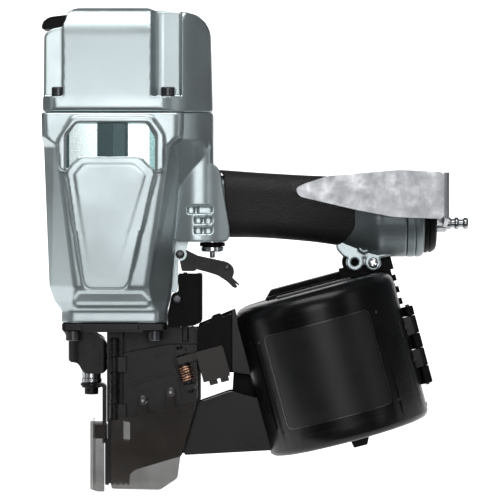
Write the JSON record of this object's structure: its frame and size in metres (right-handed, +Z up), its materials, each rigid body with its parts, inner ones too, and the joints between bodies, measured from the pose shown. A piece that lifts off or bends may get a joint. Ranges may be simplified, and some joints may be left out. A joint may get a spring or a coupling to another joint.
{
  "type": "pneumatic coil nail gun",
  "caption": "Pneumatic framing nailer: silver barrel and cap, rubber-grip handle with hook and air plug, trigger, spring-loaded nose and a tilted drum magazine.",
  "frame": {"origin": "centre of the bounding box's bottom, level with the nose shield's lower edge", "axes": "+Z up along the drive axis, +X from the barrel to the air plug, -Y towards the side where the magazine opens"},
  "size_m": [0.3162, 0.1253, 0.355],
  "materials": {
    "silver_paint": "satin metallic silver with a faint green tint",
    "grip_rubber": "fine-grained matt",
    "dark_steel": "oiled black oxide",
    "black_metal": "satin black",
    "black_plastic": "satin black",
    "gloss_black": "glossy black",
    "bright_zinc": "bright plated",
    "copper_spring": "coppered wire",
    "cast_aluminium": "mottled, brushed",
    "seal_rubber": "matt",
    "smoked_shield": "smoked, slightly clear"
  },
  "bodies": {
    "housing": {"body_casting": "silver_paint", "cylinder_cap": "silver_paint", "cap_bolt_1": "dark_steel", "cap_bolt_2": "dark_steel", "cap_bolt_3": "dark_steel", "cap_bolt_4": "dark_steel", "deflector_bolt": "dark_steel", "cylinder": "dark_steel", "cylinder_seal": "seal_rubber", "piston_bumper": "seal_rubber", "head_valve_spring": "dark_steel", "nose": "dark_steel", "nose_bolt_1": "dark_steel", "nose_bolt_2": "dark_steel", "nose_bolt_3": "dark_steel", "nose_bolt_4": "dark_steel", "spring_housing": "black_plastic", "contact_spring": "dark_steel", "trigger_pin": "dark_steel", "valve_body": "bright_zinc", "plunger_spring": "dark_steel", "lever_guard": "black_plastic", "guard_screw": "bright_zinc", "handle_grip": "grip_rubber", "end_cap": "silver_paint", "end_cover": "black_plastic", "air_plug": "bright_zinc", "magazine_base": "black_plastic", "magazine_hinge_pin": "dark_steel", "bracket_screw": "bright_zinc", "door_bracket": "dark_steel", "door_hinge_pin": "dark_steel", "feeder_cylinder": "dark_steel"},
    "deflector": {"exhaust_deflector": "black_plastic"},
    "piston_set": {"piston": "silver_paint", "piston_ring": "seal_rubber", "driver_blade": "dark_steel"},
    "head_valve": {"head_valve": "black_plastic"},
    "push_lever": {"push_rod": "dark_steel", "upper_link": "black_metal"},
    "contact_arm": {"contact_arm": "black_metal", "arm_bolt": "dark_steel", "side_shield": "smoked_shield"},
    "depth_adjuster": {"depth_adjuster": "bright_zinc"},
    "trigger": {"trigger": "black_metal", "trigger_arm_pin": "dark_steel"},
    "trigger_arm": {"trigger_arm": "dark_steel"},
    "valve_plunger": {"valve_plunger": "dark_steel"},
    "rafter_hook": {"rafter_hook": "cast_aluminium"},
    "magazine_cover": {"magazine_cover": "gloss_black"},
    "nail_tray": {"nail_tray": "gloss_black"},
    "feed_door": {"feed_door": "black_metal", "door_screw_1": "bright_zinc", "door_screw_2": "bright_zinc", "latch_pin": "dark_steel", "latch_spring": "copper_spring"},
    "door_latch": {"door_latch": "black_metal"},
    "front_shield": {"front_shield": "smoked_shield"},
    "feed_piston": {"feed_piston": "bright_zinc", "feed_pawl": "dark_steel"}
  },
  "joints": [
    {"name": "deflector_swivel", "type": "hinge", "parent": "housing", "child": "deflector", "pos_m": [-0.112, 0, 0.341], "axis": [0, 0, 1], "range_deg": [-15, 15]},
    {"name": "piston_stroke", "type": "slide", "parent": "housing", "child": "piston_set", "axis": [0, 0, -1], "range_m": [0, 0.108]},
    {"name": "head_valve_lift", "type": "slide", "parent": "housing", "child": "head_valve", "axis": [0, 0, 1], "range_m": [0, 0.004], "stiffness_N_per_m": 3000, "springref_m": -0.004, "deforming": ["head_valve_spring"]},
    {"name": "push_lever_slide", "type": "slide", "parent": "housing", "child": "push_lever", "axis": [0, 0, 1], "range_m": [0, 0.01], "stiffness_N_per_m": 2500, "springref_m": -0.03, "deforming": ["contact_spring"]},
    {"name": "depth_adjust", "type": "slide", "parent": "push_lever", "child": "contact_arm", "axis": [0, 0, 1], "range_m": [0, 0.003]},
    {"name": "adjuster_spin", "type": "hinge", "parent": "contact_arm", "child": "depth_adjuster", "pos_m": [-0.122, 0, 0.084], "axis": [0, 0, 1], "range_deg": [0, 1080]},
    {"name": "shield_lift", "type": "slide", "parent": "feed_door", "child": "front_shield", "axis": [0, 0, 1], "range_m": [0, 0.01]},
    {"name": "trigger_pull", "type": "hinge", "parent": "housing", "child": "trigger", "pos_m": [-0.0558, 0, 0.1742], "axis": [0, -1, 0], "range_deg": [0, 8], "stiffness_Nm_per_rad": 1.2, "springref_deg": -14.32},
    {"name": "trigger_arm_tilt", "type": "hinge", "parent": "trigger", "child": "trigger_arm", "pos_m": [-0.0211, 0, 0.1642], "axis": [0, 1, 0], "range_deg": [0, 7.5], "stiffness_Nm_per_rad": 0.1, "springref_deg": -11.46},
    {"name": "valve_plunger_lift", "type": "slide", "parent": "housing", "child": "valve_plunger", "axis": [0, 0, 1], "range_m": [0, 0.0045], "stiffness_N_per_m": 400, "springref_m": -0.004, "deforming": ["plunger_spring"]},
    {"name": "hook_swing", "type": "hinge", "parent": "housing", "child": "rafter_hook", "pos_m": [0.1388, 0, 0.197], "axis": [-1, 0, 0], "range_deg": [0, 165]},
    {"name": "cover_swing", "type": "hinge", "parent": "housing", "child": "magazine_cover", "pos_m": [0.11975, 0, 0.11008], "axis": [-0.2588, 0, 0.9659], "range_deg": [0, 110]},
    {"name": "tray_height", "type": "slide", "parent": "housing", "child": "nail_tray", "axis": [-0.2588, 0, 0.9659], "range_m": [0, 0.03]},
    {"name": "door_swing", "type": "hinge", "parent": "housing", "child": "feed_door", "pos_m": [-0.104, -0.026, 0.08], "axis": [0, 0, -1], "range_deg": [0, 85]},
    {"name": "latch_tilt", "type": "hinge", "parent": "feed_door", "child": "door_latch", "pos_m": [-0.051, -0.021, 0.086], "axis": [0.2588, 0, -0.9659], "range_deg": [0, 20], "stiffness_Nm_per_rad": 0.5, "springref_deg": -17.19},
    {"name": "feed_stroke", "type": "slide", "parent": "housing", "child": "feed_piston", "axis": [-0.9659, 0, -0.2588], "range_m": [0, 0.007], "stiffness_N_per_m": 800, "springref_m": -0.004}
  ],
  "couplings": [
    {"joint": "adjuster_spin", "follows": "depth_adjust", "rad_per_m": 6276.9},
    {"joint": "shield_lift", "follows": "push_lever_slide", "ratio": 1},
    {"joint": "trigger_arm_tilt", "follows": "push_lever_slide", "rad_per_m": 12.915},
    {"joint": "trigger_pull", "follows": "valve_plunger_lift", "rad_per_m": 30.997}
  ]
}
